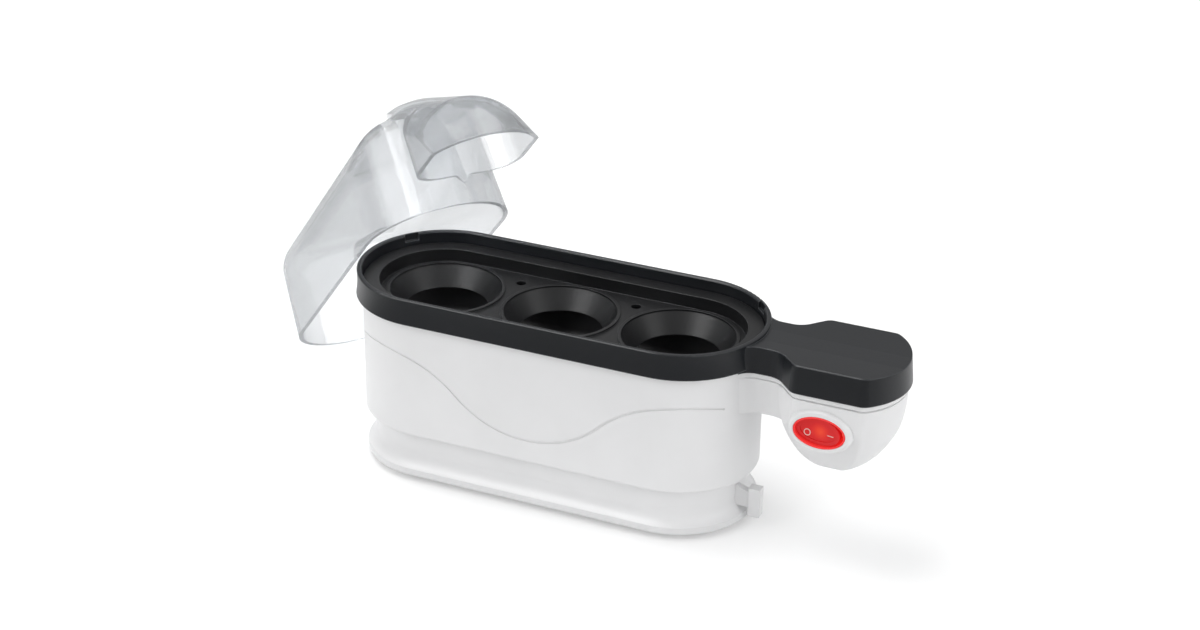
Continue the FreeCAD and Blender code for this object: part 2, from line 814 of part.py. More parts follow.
def make_tray():
    flange = ledge_height + part_gap
    floor = tray_floor_height
    top = floor + tray_thickness
    well = tray_well_radius
    foot = well - tray_well_slope
    plate = oblong([(0, floor), (foot + tray_thickness, floor), (well + tray_thickness, flange),
                    (tray_radius, flange), (tray_radius, flange + tray_thickness),
                    (well, flange + tray_thickness), (foot, top), (0, top)])
    seats = []
    cuts = []
    low = seat_low_height
    outer = seat_top_radius + seat_wall
    for place in (-1, 0, 1):
        x = place * seat_pitch
        foot_point = vec(x, 0, low)
        seats.append(Part.makeCone(seat_low_radius + seat_wall, outer, seat_depth, foot_point))
        seats.append(peg(outer, x, 0, floor, top + seat_ring_height))
        cuts.append(Part.makeCone(seat_low_radius, seat_top_radius, seat_depth, foot_point))
        cuts.append(peg(seat_low_radius, x, 0, low - overrun, low + overrun))
        cuts.append(peg(seat_top_radius, x, 0, top, top + overrun))
    cuts += [peg(steam_hole_radius, sx * seat_pitch / 2, sy * steam_hole_y, floor - overrun, top + overrun)
             for sx, sy in quarters]
    return one_solid(plate.fuse(seats).cut(cuts))


# Heater under the dish

element_z = dish_floor_height - element_radius - flush_gap
strap_top = element_z - element_radius - flush_gap


def make_element():
    """A tube bent into a long U against the underside of the dish."""
    legs = [rod(element_radius, vec(element_leg_x, side * element_half_width, element_z),
                vec(element_end_x, side * element_half_width, element_z)) for side in ends]
    ring = Part.makeTorus(element_half_width, element_radius, vec(element_leg_x, 0, element_z), up)
    reach = element_half_width + element_radius + overrun
    bend = ring.common(box((element_leg_x - reach, element_leg_x), (-reach, reach),
                           (element_z - reach, element_z + reach)))
    return one_solid(bend.fuse(legs))


def make_pins():
    pins = []
    for side in ends:
        start = vec(element_end_x, side * element_half_width, element_z)
        pins.append(rod(element_pin_radius, start, start + vec(element_pin_length, 0, 0)))
    return Part.makeCompound(pins)


def make_thermostat():
    top = dish_floor_height - flush_gap
    neck = thermostat_radius - clip_thickness - flush_gap
    disc = peg(thermostat_radius, 0, 0, strap_top + flush_gap, top)
    return one_solid(disc.fuse(peg(neck, 0, 0, top - thermostat_height, top)))


def strap(x, width, thickness):
    """A flat strap across both legs of the heating tube."""
    reach = element_half_width + element_radius
    return box((x - width / 2, x + width / 2), (-reach, reach), (strap_top - thickness, strap_top))


def make_thermostat_clip():
    wide = strap(0, clip_width, clip_thickness)
    ring = peg(thermostat_radius + clip_thickness, 0, 0, strap_top - clip_thickness, strap_top)
    hole = peg(thermostat_radius - clip_thickness, 0, 0, strap_top - overrun, strap_top + overrun)
    return one_solid(wide.fuse(ring).cut(hole))


def make_fuse():
    z = dish_floor_height - flush_gap - fuse_radius
    half = element_half_width - element_radius - part_gap
    return rod(fuse_radius, vec(fuse_x, -half, z), vec(fuse_x, half, z))


def make_shield():
    top = shield_height + shield_thickness
    plate = oblong([(0, shield_height), (shield_radius, shield_height), (shield_radius, top), (0, top)])
    low = shield_height - overrun
    high = shield_height + overrun
    cuts = [peg(shield_hole_radius, 0, 0, low, high)]
    cuts += [peg(stud_radius + fit_gap, sx * stud_x, 0, low, high) for sx in ends]
    return one_solid(plate.cut(cuts))


stud_low = shield_height - nut_height - stud_radius


def make_studs():
    return Part.makeCompound([peg(stud_radius, sx * stud_x, 0, stud_low, dish_floor_height) for sx in ends])


def hex_bar(radius, x, low, high):
    corners = []
    for k in range(7):
        turn = math.radians(60 * k)
        corners.append(vec(x + radius * math.cos(turn), radius * math.sin(turn), low))
    return Part.Face(Part.makePolygon(corners)).extrude(vec(0, 0, high - low))


def make_nuts():
    low = shield_height - nut_height
    nuts = []
    for sx in ends:
        hole = peg(stud_radius + flush_gap, sx * stud_x, 0, low - overrun, shield_height + overrun)
        nuts.append(hex_bar(nut_radius, sx * stud_x, low, shield_height).cut(hole))
    return Part.makeCompound(nuts)


# Rocker switch in the belly's front wall

def make_bezel():
    """The switch's own thin frame, pressed into the raised oval from outside."""
    sleeve = oval(bezel_half_length, bezel_half_height, bezel_face_y, switch_front_depth)
    hole = oval(rocker_half_length + rocker_end_gap, rocker_half_height + rocker_side_gap,
                bezel_face_y - overrun, switch_front_depth + 2 * overrun)
    return one_solid(sleeve.cut(hole))


def make_rocker():
    """The oval key with a dished face, a boss behind and two stub pivots."""
    key = oval(rocker_half_length, rocker_half_height, bezel_face_y, rocker_thickness)
    hollow_y = bezel_face_y + rocker_dish_depth - rocker_dish_radius
    reach = rocker_half_height + overrun
    dish = peg(rocker_dish_radius, switch_x, hollow_y, switch_height - reach, switch_height + reach)
    middle = oval(rocker_half_length - rocker_rim, rocker_half_height - rocker_rim, bezel_face_y - overrun,
                  rocker_thickness + overrun)
    recess = dish.translated(vec(0, rocker_recess, 0)).common(middle)
    half = rocker_boss_height / 2
    boss = box((switch_x - rocker_boss_length / 2, switch_x + rocker_boss_length / 2),
               (bezel_face_y + rocker_thickness - rocker_dish_depth / 2, pivot_y + pivot_radius),
               (switch_height - half, switch_height + half))
    pivot = peg(pivot_radius, switch_x, pivot_y, switch_height - pivot_reach, switch_height + pivot_reach)
    solid = key.cut([dish, recess]).fuse([boss, pivot])
    solid.rotate(vec(switch_x, pivot_y, switch_height), up, -rocker_angle)
    return one_solid(solid)


def make_switch_body():
    low = switch_height - switch_half_height
    high = switch_height + switch_half_height
    block = box((switch_x - switch_half_length, switch_x + switch_half_length),
                (switch_front, switch_front + switch_depth), (low, high))
    room = switch_half_length - switch_wall
    cavity = box((switch_x - room, switch_x + room),
                 (switch_front - overrun, switch_front + switch_cavity_depth),
                 (low + switch_wall, high - switch_wall))
    bearing = peg(pivot_radius + pivot_gap, switch_x, pivot_y, low - overrun, high + overrun)
    return one_solid(block.cut([cavity, bearing]))


def make_tabs():
    back = switch_front + switch_depth
    tabs = []
    for k in (-1, 0, 1):
        x = switch_x + k * tab_pitch
        tabs.append(box((x - tab_thickness / 2, x + tab_thickness / 2), (back, back + tab_length),
                        (switch_height - tab_width / 2, switch_height + tab_width / 2)))
    return Part.makeCompound(tabs)


def make_lamp():
    y = switch_front + switch_cavity_depth - lamp_radius
    x = switch_x + rocker_boss_length / 2 + lamp_radius + part_gap * 3
    return peg(lamp_radius, x, y, switch_height - lamp_length / 2, switch_height + lamp_length / 2)


# Mains parts inside the base

def make_block():
    low = base_floor
    body = box((block_x - block_length / 2, block_x + block_length / 2),
               (block_y - block_width / 2, block_y + block_width / 2), (low, low + block_height))
    wells = [peg(lead_radius * 2, block_x + k * block_length / 3, block_y, low + block_height / 2,
                 low + block_height + overrun) for k in (-1, 0, 1)]
    return one_solid(body.cut(wells))


def make_bush(base):
    """The rubber sleeve that the mains cord would leave through."""
    inner = waist_radius - base_wall

    def sleeve(radius, start, end):
        return rod(radius, vec(bush_x, start, bush_height), vec(bush_x, end, bush_height))

    tail = waist_radius + bush_flange
    tube = sleeve(bush_radius - bush_flange, tail - bush_length, tail)
    outside = sleeve(bush_radius, waist_radius, tail)
    inside = sleeve(bush_radius, inner - bush_flange, inner)
    bore = sleeve(bush_bore, waist_radius - bush_length, tail + overrun)
    return one_solid(tube.fuse([outside, inside]).cut([bore, base]))


clamp_y = waist_radius - bush_length - clamp_width
clamp_reach = clamp_length / 2 - screw_head_radius
clamp_top = base_floor + clamp_thickness


def make_clamp():
    bar = box((bush_x - clamp_length / 2, bush_x + clamp_length / 2),
              (clamp_y - clamp_width / 2, clamp_y + clamp_width / 2), (base_floor, clamp_top))
    holes = [peg(screw_radius + flush_gap, bush_x + sx * clamp_reach, clamp_y, 0, clamp_top + overrun)
             for sx in ends]
    return one_solid(bar.cut(holes))


def screw(x, y, head_low, direction, length):
    """A pan head screw, standing on its head's outer face."""
    head = peg(screw_head_radius, x, y, head_low, head_low + direction * screw_head_height)
    shank = peg(screw_radius, x, y, head_low, head_low + direction * length)
    return head.fuse(shank).removeSplitter()


def make_clamp_screws():
    top = clamp_top + screw_head_height
    length = top - base_floor
    return Part.makeCompound([screw(bush_x + sx * clamp_reach, clamp_y, top, -1, length) for sx in ends])


def make_base_screws():
    return Part.makeCompound([screw(sx * boss_x, sy * boss_y, 0, 1, screw_length) for sx, sy in quarters])


def make_arm_screw():
    return screw(arm_screw_x, 0, arm_low, 1, screw_length)


def lead(points):
    """A wire through points, its corners rounded as far as the runs on each side allow."""
    path = [vec(*p) for p in points]
    edges = []
    start = path[0]
    for before, corner, after in zip(path, path[1:], path[2:]):
        back = (before - corner).normalize()
        ahead = (after - corner).normalize()
        shorter = min((before - corner).Length, (after - corner).Length)
        trim = min(shorter * lead_corner_share, lead_bend)
        turn = math.pi - back.getAngle(ahead)
        radius = trim / math.tan(turn / 2)
        a = corner + back * trim
        b = corner + ahead * trim
        middle = (back + ahead).normalize()
        mid = corner + middle * (math.hypot(radius, trim) - radius)
        edges.append(Part.LineSegment(start, a).toShape())
        edges.append(Part.Arc(a, mid, b).toShape())
        start = b
    edges.append(Part.LineSegment(start, path[-1]).toShape())
    spine = Part.Wire(edges)
    ring = Part.makeCircle(lead_radius, path[0], path[1] - path[0])
    return spine.makePipeShell([Part.Wire(ring)], True, True)


# Clear lid with its hood-shaped grip

def lid_section(inset, low):
    radius = lid_radius - inset
    side = radius - lid_top_inset
    shoulder = lid_shoulder_radius - inset
    centre = side - shoulder
    top = lid_side_height + shoulder
    crown = lid_crown_height - inset
    diagonal = shoulder * math.sqrt(0.5)
    return [(0, low), (radius, low), (radius, 0), (side, lid_side_height),
            (centre + diagonal, lid_side_height + diagonal, centre, top),
            (centre / 2, top + (crown - top) * lid_crown_mid_share, 0, crown)]


def lid_form(inset, low):
    """A vault with a domed left end and an upright round right end."""
    near = section(lid_section(inset, low))
    near.rotate(origin, up, -90)
    dome = near.copy()
    dome.rotate(origin, up, 180)
    dome = dome.revolve(origin, up, 180)
    dome.translate(vec(-lid_half, 0, 0))
    near.translate(vec(-lid_half, 0, 0))
    radius = lid_radius - inset
    front = near.extrude(vec(2 * lid_half + radius, 0, 0))
    vault = front.fuse(front.mirror(origin, vec(0, 1, 0)))
    height = lid_crown_height + overrun
    top_radius = radius - lid_top_inset * height / lid_side_height
    wall = Part.makeCone(radius, top_radius, height, vec(lid_half, 0, 0))
    if low < 0:
        wall = wall.fuse(rod(radius, vec(lid_half, 0, low), vec(lid_half, 0, 0)))
    middle = box((-lid_half, lid_half), (-radius, radius), (low, height))
    return vault.common(middle.fuse(wall)).fuse(dome).removeSplitter()


def roof_form(inset):
    """The space under the grip's arched roof, which falls away from the lid."""
    half = grip_half_width - inset
    deep = -lid_crown_height
    face = Part.Face(outline([(-half, deep), (half, deep), (half, grip_side_height - inset),
                              (0, grip_crown_height - inset, -half, grip_side_height - inset)],
                             lambda y, z: vec(grip_crease_x, y, z)))
    reach = lid_radius + lid_half
    back = face.extrude(vec(-reach, 0, reach * grip_fall_share))
    fore = face.extrude(vec(reach, 0, -reach * grip_fall_share))
    return back.fuse(fore)


def grip_form(inset, low):
    """The hood: rounded at the back, with a bowed front that leans back towards the roof."""
    half = grip_half_width - inset
    corner = grip_corner - inset
    back = grip_back_x + inset
    far = grip_front_centre + lid_radius
    top = lid_crown_height
    diagonal = corner * (1 - math.sqrt(0.5))
    face = Part.Face(outline([(back, corner - half),
                              (back + diagonal, diagonal - half, back + corner, -half),
                              (far, -half), (far, half), (back + corner, half),
                              (back + diagonal, half - diagonal, back, half - corner)],
                             lambda x, y: vec(x, y, low)))
    plan = face.extrude(vec(0, 0, top - low))
    radius = grip_front_radius - inset
    shift = (grip_low - low) * grip_lean_share
    centre = grip_front_centre + shift
    rear = centre - lid_half
    front = Part.Face(outline([(rear, -radius), (centre, -radius), (centre + radius, 0, centre, radius),
                               (rear, radius)], lambda x, y: vec(x, y, low)))
    lean = front.extrude(vec(-grip_lean_share * (top - low), 0, top - low))
    return plan.common(lean).common(roof_form(inset))


def make_vault():
    """The lid's own shell, a vault that is open below."""
    return one_solid(lid_form(0, 0).cut(lid_form(lid_wall, -overrun)))


def make_hood():
    """The grip: a thin hood, a roof strip that ties it to the lid's end wall, and a tooth at the back."""
    shell = grip_form(0, grip_low).cut(grip_form(lid_wall, -overrun))
    half = grip_neck_half_width
    block = box((lid_half, grip_back_x + grip_corner), (-half, half),
                (lid_side_height, lid_crown_height + lid_wall))
    strip = block.common(roof_form(0)).cut(roof_form(lid_wall)).cut(grip_form(lid_wall, -overrun))
    tooth = Part.Face(outline([(-grip_tooth_width / 2, grip_low), (grip_tooth_width / 2, grip_low),
                               (0, grip_low - grip_tooth_drop)], lambda y, z: vec(grip_back_x, y, z)))
    body = shell.fuse([strip, tooth.extrude(vec(lid_wall, 0, 0))])
    return one_solid(body.cut(lid_form(0, -overrun)))


def lid_placement():
    """Leans the lid: its end on the table, both long rim edges just off the collar."""
    turn = FreeCAD.Rotation(lid_yaw, -lid_lean, lid_roll)
    along = turn.multVec(vec(1, 0, 0))
    across = turn.multVec(vec(0, 1, 0))
    z = part_gap - foot_height + lid_half * along.z + lid_radius * math.hypot(along.z, across.z)
    half = lid_radius - lid_wall
    reach = collar_top_radius + part_gap
    far_step = (rim_height - z - half * across.z) / along.z
    y = reach - half * across.y - far_step * along.y
    near_step = (rim_height - z + half * across.z) / along.z
    near_y = y - half * across.y + near_step * along.y
    near_x = -end_centre - math.sqrt(reach ** 2 - near_y ** 2)
    x = near_x + half * across.x - near_step * along.x
    return FreeCAD.Placement(vec(x, y, z), turn)


def leaned(solid):
    """A piece of the lid, carried from the lid's own frame to where it leans."""
    solid.Placement = lid_placement().multiply(solid.Placement)
    return solid


# Insulated wires, each from one terminal to the next

half_step = lead_step / 2
pole_y = block_y - block_width / 2
pole_z = base_floor + block_height / 2
pole_pitch = block_length / 3
pin_x = element_end_x + element_pin_length
wire_room = lead_radius + part_gap
turn_x = stud_x + element_half_width / 2
riser_x = end_centre + tub_radius - tub_wall - wire_room - lead_radius
climb_x = riser_x - lead_step * 2
window_y = lead_window_width / 2 - wire_room - part_gap
window_z = arm_low + arm_floor + part_gap + wire_room + lead_radius
tab_end = switch_front + switch_depth + tab_length


def floor_run(x, y):
    """From a pole of the block, out to a lane and along the base's floor."""
    return [(x, pole_y, pole_z), (x, y, pole_z), (element_end_x, y, pole_z + half_step)]


def tab_run(y, z, k, drop):
    """Along the neck beside the screw's post, and round to the back of one switch tab."""
    past = arm_screw_x + arm_post_radius + lead_step
    x = switch_x + k * tab_pitch
    low = z - drop
    return [(past, y, z), (past + half_step + drop, tab_end + half_step, low),
            (x, tab_end + lead_step + half_step, low), (x, tab_end + half_step, switch_height),
            (x, tab_end, switch_height)]


def make_leads():
    near, middle, far = [-lead_step * (k + lane_share) for k in range(3)]
    low = pole_z + lead_step
    upper = window_z + lead_step
    side = element_half_width
    live = floor_run(block_x - pole_pitch, far)
    live += [(turn_x, far, low), (climb_x, -window_y - half_step, base_top),
             (riser_x, -window_y, boss_top), (riser_x, -window_y, window_z)]
    live += tab_run(-window_y, window_z, -1, -half_step)
    lamp = floor_run(block_x - half_step, middle)
    lamp += [(turn_x, middle + lead_radius, low), (climb_x, -lead_radius, base_top), (riser_x, 0, boss_top),
             (riser_x, 0, upper), (arm_screw_x - window_y, -window_y, upper)]
    lamp += tab_run(-window_y, upper, 1, 0)
    earth = floor_run(block_x + pole_pitch, near)
    earth += [(stud_x, 0, low + lead_step), (stud_x, 0, stud_low)]
    pole = block_x + half_step
    rise = climb_x + lead_step
    neutral = [(pole, pole_y, pole_z), (pole, pole_y - half_step, pole_z), (pole, near, low),
               (pole + lead_step * 3, near, low + lead_step + lead_radius),
               (element_end_x, side - lead_step, low + lead_step * 2), (turn_x, side - half_step, base_top),
               (rise - half_step, side, boss_web_low + lead_step), (rise, side, boss_top),
               (rise, side, element_z), (pin_x, side, element_z)]
    switched = [(pin_x, -side, element_z), (pin_x + lead_step, -side, element_z),
                (climb_x + lead_radius, -window_y, element_z), (riser_x - half_step, half_step, element_z),
                (riser_x, window_y, element_z + lead_step), (riser_x, window_y, window_z)]
    switched += tab_run(window_y, window_z, 0, lead_step)
    return {"live_lead": lead(live), "lamp_lead": lead(lamp), "earth_lead": lead(earth),
            "neutral_lead": lead(neutral), "switched_lead": lead(switched)}


base = make_base()
pieces = {
    "tub_housing": make_tub(),
    "collar_cover": make_collar(),
    "base_pan": base,
    "rubber_feet": make_feet(),
    "cord_cleat": make_cleat(base),
    "heating_dish": make_dish(),
    "dish_seal": make_seal(),
    "cooking_tray": make_tray(),
    "heating_element": make_element(),
    "element_pins": make_pins(),
    "thermostat": make_thermostat(),
    "thermostat_clip": make_thermostat_clip(),
    "thermal_fuse": make_fuse(),
    "fuse_clip": strap(fuse_x, fuse_clip_width, fuse_clip_thickness),
    "heat_shield": make_shield(),
    "dish_studs": make_studs(),
    "shield_nuts": make_nuts(),
    "switch_bezel": make_bezel(),
    "rocker": make_rocker(),
    "switch_body": make_switch_body(),
    "switch_tabs": make_tabs(),
    "switch_lamp": make_lamp(),
    "terminal_block": make_block(),
    "cord_bush": make_bush(base),
    "cord_clamp": make_clamp(),
    "clamp_screws": make_clamp_screws(),
    "base_screws": make_base_screws(),
    "arm_screw": make_arm_screw(),
    "clear_lid": leaned(make_vault()),
    "lid_grip": leaned(make_hood()),
}
pieces.update(make_leads())

for name, shape in pieces.items():
    placed = shape.copy()
    placed.translate(vec(0, 0, foot_height))
    print(name, placed.isValid(), len(placed.Solids), round(placed.Volume), placed.BoundBox)
    placed.exportStep("parts/" + name + ".step")
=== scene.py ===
import bmesh
import bpy
import math
from mathutils import Matrix, Vector


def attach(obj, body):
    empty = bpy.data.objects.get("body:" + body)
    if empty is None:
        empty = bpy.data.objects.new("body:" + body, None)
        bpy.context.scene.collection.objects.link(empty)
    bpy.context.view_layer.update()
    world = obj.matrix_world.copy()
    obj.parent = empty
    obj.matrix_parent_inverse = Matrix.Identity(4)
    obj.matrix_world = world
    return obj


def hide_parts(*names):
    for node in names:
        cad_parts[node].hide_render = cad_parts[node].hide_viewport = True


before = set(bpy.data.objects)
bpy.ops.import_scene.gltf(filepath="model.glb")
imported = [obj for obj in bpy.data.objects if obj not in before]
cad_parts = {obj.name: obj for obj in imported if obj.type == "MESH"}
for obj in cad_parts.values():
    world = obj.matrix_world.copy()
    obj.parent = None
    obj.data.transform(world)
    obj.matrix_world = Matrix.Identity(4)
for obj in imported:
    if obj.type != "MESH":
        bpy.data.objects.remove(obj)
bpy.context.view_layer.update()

# White tub with the arm and belly of the handle
# One moulding in white polypropylene: an upright oblong wall with a pressed wave line, the arm, and the
# hollow bowl that holds the switch. The mould was spark finished, so the skin is satin with a fine grain.

flow_scale = 24
flow_low = 0.35
flow_high = 0.65
gloss_below = 0.05
gloss_above = 0.07
grain_strength = 0.06
grain_height = 0.0004
edge_samples = 6
sheen_from = 0.995
sheen_full = 0.85
colour_a, colour_b, colour_out = 6, 7, 2


def moulded(name, deep, pale, rough, grain, shine=0.5, edge=0.0, edge_sheen=None):
    """A moulded skin: slow flow marks between two tones, uneven gloss, fine grain, and edges that are
    softened and, where an edge sheen colour is given, painted paler along them as a painted highlight."""
    finish = bpy.data.materials.new(name)
    finish.use_nodes = True
    tree = finish.node_tree
    link = tree.links.new
    shader = tree.nodes["Principled BSDF"]
    shader.inputs["Specular IOR Level"].default_value = shine
    place = tree.nodes.new("ShaderNodeTexCoord")
    flow = tree.nodes.new("ShaderNodeTexNoise")
    flow.inputs["Scale"].default_value = flow_scale
    flow.inputs["Detail"].default_value = 3
    tone = tree.nodes.new("ShaderNodeValToRGB")
    tone.color_ramp.elements[0].position = flow_low
    tone.color_ramp.elements[0].color = (*deep, 1)
    tone.color_ramp.elements[1].position = flow_high
    tone.color_ramp.elements[1].color = (*pale, 1)
    speck = tree.nodes.new("ShaderNodeTexNoise")
    speck.inputs["Scale"].default_value = grain
    speck.inputs["Detail"].default_value = 2
    gloss = tree.nodes.new("ShaderNodeMapRange")
    gloss.inputs["To Min"].default_value = rough - gloss_below
    gloss.inputs["To Max"].default_value = rough + gloss_above
    relief = tree.nodes.new("ShaderNodeBump")
    relief.inputs["Strength"].default_value = grain_strength
    relief.inputs["Distance"].default_value = grain_height
    link(place.outputs["Object"], flow.inputs["Vector"])
    link(place.outputs["Object"], speck.inputs["Vector"])
    link(flow.outputs["Fac"], tone.inputs["Fac"])
    link(tone.outputs["Color"], shader.inputs["Base Color"])
    link(speck.outputs["Fac"], gloss.inputs["Value"])
    link(gloss.outputs["Result"], shader.inputs["Roughness"])
    link(speck.outputs["Fac"], relief.inputs["Height"])
    link(relief.outputs["Normal"], shader.inputs["Normal"])
    if edge:
        softened = tree.nodes.new("ShaderNodeBevel")
        softened.samples = edge_samples
        softened.inputs["Radius"].default_value = edge
        link(softened.outputs["Normal"], relief.inputs["Normal"])
    # Painted highlight: a paler colour where the softened normal turns away from the face, in place of the
    # bright lines that light draws along the edges.
    if edge_sheen:
        flat = tree.nodes.new("ShaderNodeNewGeometry")
        bend = tree.nodes.new("ShaderNodeVectorMath")
        bend.operation = "DOT_PRODUCT"
        sheen_mask = tree.nodes.new("ShaderNodeMapRange")
        sheen_mask.inputs["From Min"].default_value = sheen_from
        sheen_mask.inputs["From Max"].default_value = sheen_full
        paler = tree.nodes.new("ShaderNodeMix")
        paler.data_type = "RGBA"
        paler.inputs[colour_b].default_value = (*edge_sheen, 1)
        link(softened.outputs["Normal"], bend.inputs[0])
        link(flat.outputs["Normal"], bend.inputs[1])
        link(bend.outputs["Value"], sheen_mask.inputs["Value"])
        link(sheen_mask.outputs["Result"], paler.inputs["Factor"])
        link(tone.outputs["Color"], paler.inputs[colour_a])
        link(paler.outputs[colour_out], shader.inputs["Base Color"])
    return finish


def dress(finish, *nodes):
    """Gives solids of the machine their finish."""
    for node in nodes:
        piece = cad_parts[node]
        piece.data.materials.clear()
        piece.data.materials.append(finish)


white = moulded("white_moulding", deep=(0.785, 0.785, 0.790), pale=(0.820, 0.820, 0.825),
                rough=0.34, grain=1400, edge=0.0004)
dress(white, "tub_housing")

# Base pan with its cleat
# The pan is the same white moulding, with a groove round it for the cord, and a hook at the handle's end
# that the end of the wound cord is caught behind.

dress(white, "base_pan", "cord_cleat")

# Rubber pieces
# Four feet are pressed into round seats under the base, and a bush lines the cord's hole in the groove.

rubber = moulded("soft_rubber", deep=(0.020, 0.020, 0.021), pale=(0.032, 0.032, 0.034),
                 rough=0.72, grain=900, shine=0.35)
dress(rubber, "rubber_feet", "cord_bush")

# Black collar with the cover of the handle
# One charcoal moulding with a fine texture. It sits over the tub, holds the dish down and roofs the
# handle, and its deck is dished slightly along the middle.

# Its paler edge colour is a painted highlight along the edges.
charcoal = moulded("charcoal_moulding", deep=(0.0088, 0.0100, 0.0122), pale=(0.0112, 0.0125, 0.0150),
                   rough=0.32, grain=1800, shine=0.38, edge=0.0006, edge_sheen=(0.075, 0.080, 0.086))
dress(charcoal, "collar_cover")

# Cooking tray
# A black moulded plate that lies loose on the collar's ledge, with three conical cups that are open at the
# bottom, so that steam rises through them.

# Its paler edge colour is a painted highlight along the edges.
tray_black = moulded("tray_moulding", deep=(0.0065, 0.0067, 0.0074), pale=(0.0092, 0.0095, 0.0104),
                     rough=0.36, grain=1500, shine=0.35, edge=0.0004, edge_sheen=(0.035, 0.036, 0.039))
dress(tray_black, "cooking_tray")

# Water dish and its seal
# The dish is pressed aluminium with a speckled dark non-stick coat. A pale silicone ring under its flange
# keeps water out of the tub.

coating = moulded("dish_coating", deep=(0.022, 0.022, 0.024), pale=(0.042, 0.042, 0.045),
                  rough=0.45, grain=2600)
dress(coating, "heating_dish")
silicone = moulded("seal_silicone", deep=(0.55, 0.55, 0.53), pale=(0.62, 0.62, 0.60), rough=0.5, grain=700)
dress(silicone, "dish_seal")

# Rocker switch
# A glossy red key, clear enough to let the lamp behind it shine through its middle, in a thin sleeve and a
# body of the same red nylon, clipped into the raised oval of the handle.

key_middle = Vector((0.1134, -0.0213, 0.0553))
red_glow = (1.0, 0.015, 0.012)
outer_share = 0.3
orange_share = 0.8


def lit_red(name, deep, pale, glow, strength, reach):
    """Red plastic that gives off light, orange near the key's middle and dim red further out: the lamp
    through the key, a painted glow on sleeve and body.
    """
    finish = moulded(name, deep, pale, rough=0.22, grain=700, shine=0.32)
    tree = finish.node_tree
    link = tree.links.new
    shader = tree.nodes["Principled BSDF"]
    place = tree.nodes.new("ShaderNodeTexCoord")
    offset = tree.nodes.new("ShaderNodeVectorMath")
    offset.operation = "DISTANCE"
    offset.inputs[1].default_value = key_middle
    fade = tree.nodes.new("ShaderNodeMapRange")
    fade.interpolation_type = "SMOOTHSTEP"
    fade.inputs["From Min"].default_value = 0
    fade.inputs["From Max"].default_value = reach
    fade.inputs["To Min"].default_value = strength
    fade.inputs["To Max"].default_value = outer_share * strength
    warmth = tree.nodes.new("ShaderNodeMapRange")
    warmth.inputs["From Max"].default_value = orange_share * reach
    hue = tree.nodes.new("ShaderNodeMix")
    hue.data_type = "RGBA"
    hue.inputs[colour_a].default_value = (*glow, 1)
    hue.inputs[colour_b].default_value = (*red_glow, 1)
    link(offset.outputs["Value"], warmth.inputs["Value"])
    link(warmth.outputs["Result"], hue.inputs["Factor"])
    link(hue.outputs[colour_out], shader.inputs["Emission Color"])
    link(place.outputs["Object"], offset.inputs[0])
    link(offset.outputs["Value"], fade.inputs["Value"])
    link(fade.outputs["Result"], shader.inputs["Emission Strength"])
    return finish


red_key = lit_red("red_key", deep=(0.60, 0.016, 0.018), pale=(0.68, 0.022, 0.025), glow=(1.0, 0.24, 0.03),
                  strength=0.30, reach=0.0048)
dress(red_key, "rocker")
# The sleeve's glow is painted light: it brightens the sleeve, which the lamp does not light.
red_sleeve_painted_glow = lit_red("red_sleeve_painted_glow", deep=(0.72, 0.05, 0.05), pale=(0.78, 0.07, 0.07), glow=(1.0, 0.03, 0.03),
                     strength=0.30, reach=0.03)
dress(red_sleeve_painted_glow, "switch_bezel")
# The body's glow is painted light: it lightens the gap between key and sleeve, where shade falls.
red_nylon_painted_glow = lit_red("red_nylon_painted_glow", deep=(0.45, 0.012, 0.012), pale=(0.52, 0.018, 0.016),
                    glow=(1.0, 0.03, 0.02), strength=0.50, reach=0.03)
dress(red_nylon_painted_glow, "switch_body")
neon_lamp = lit_red("neon_lamp", deep=(0.70, 0.30, 0.16), pale=(0.76, 0.36, 0.20), glow=(1.0, 0.30, 0.08),
                    strength=0.6, reach=0.02)
dress(neon_lamp, "switch_lamp")

# Marks on the rocker
# A ring at the off end and a bar at the on end, in pale ink printed on the dished face of the key.

ink = moulded("pale_ink", deep=(0.80, 0.52, 0.48), pale=(0.86, 0.60, 0.56), rough=0.35, grain=1600)
loop_steps = 48
ellipse = 2
flat_ended = 6
ring_place = (-0.0045, -0.0013)
bar_place = (0.0047, -0.0007)
dish_reach = 0.060
key_face = 0.00132
ink_lift = 0.00006
key_pivot = 0.0062
key_tilt = math.radians(-5)


def on_key(across, above, lift):
    """A point on the key's dished and tilted face, from its middle."""
    deep = key_face - dish_reach + math.sqrt(dish_reach ** 2 - across ** 2) - lift
    back = Vector((across, deep - key_pivot, above))
    back.rotate(Matrix.Rotation(key_tilt, 3, "Z"))
    return key_middle + Vector((0, key_pivot, 0)) + back


def printed(name, inner, outer):
    """A band between two closed loops on the key's face, with a lift of one ink layer."""
    count = len(inner)
    corners = []
    for lift in (ink_lift, -ink_lift):
        corners += [on_key(u, w, lift) for u, w in inner + outer]
    faces = []
    for k in range(count):
        n = (k + 1) % count
        a, b, c, d = k, n, count + n, count + k
        low = 2 * count
        faces += [(a, d, c, b), (a + low, b + low, c + low, d + low)]
        faces += [(d, d + low, c + low, c), (a, b, b + low, a + low)]
    mesh = bpy.data.meshes.new(name)
    mesh.from_pydata(corners, [], faces)
    mesh.validate()
    piece = bpy.data.objects.new(name, mesh)
    bpy.context.scene.collection.objects.link(piece)
    mesh.materials.append(ink)
    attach(piece, "switch_key")


def loop(place, wide, high, power):
    """A closed loop in the face's own plane, from an ellipse at power 2 to nearly a bar above it."""
    centre, above = place
    points = []
    for k in range(loop_steps):
        turn = math.tau * k / loop_steps
        c = math.cos(turn)
        s = math.sin(turn)
        points.append((centre + wide * math.copysign(abs(c) ** (2 / power), c),
                       above + high * math.copysign(abs(s) ** (2 / power), s)))
    return points


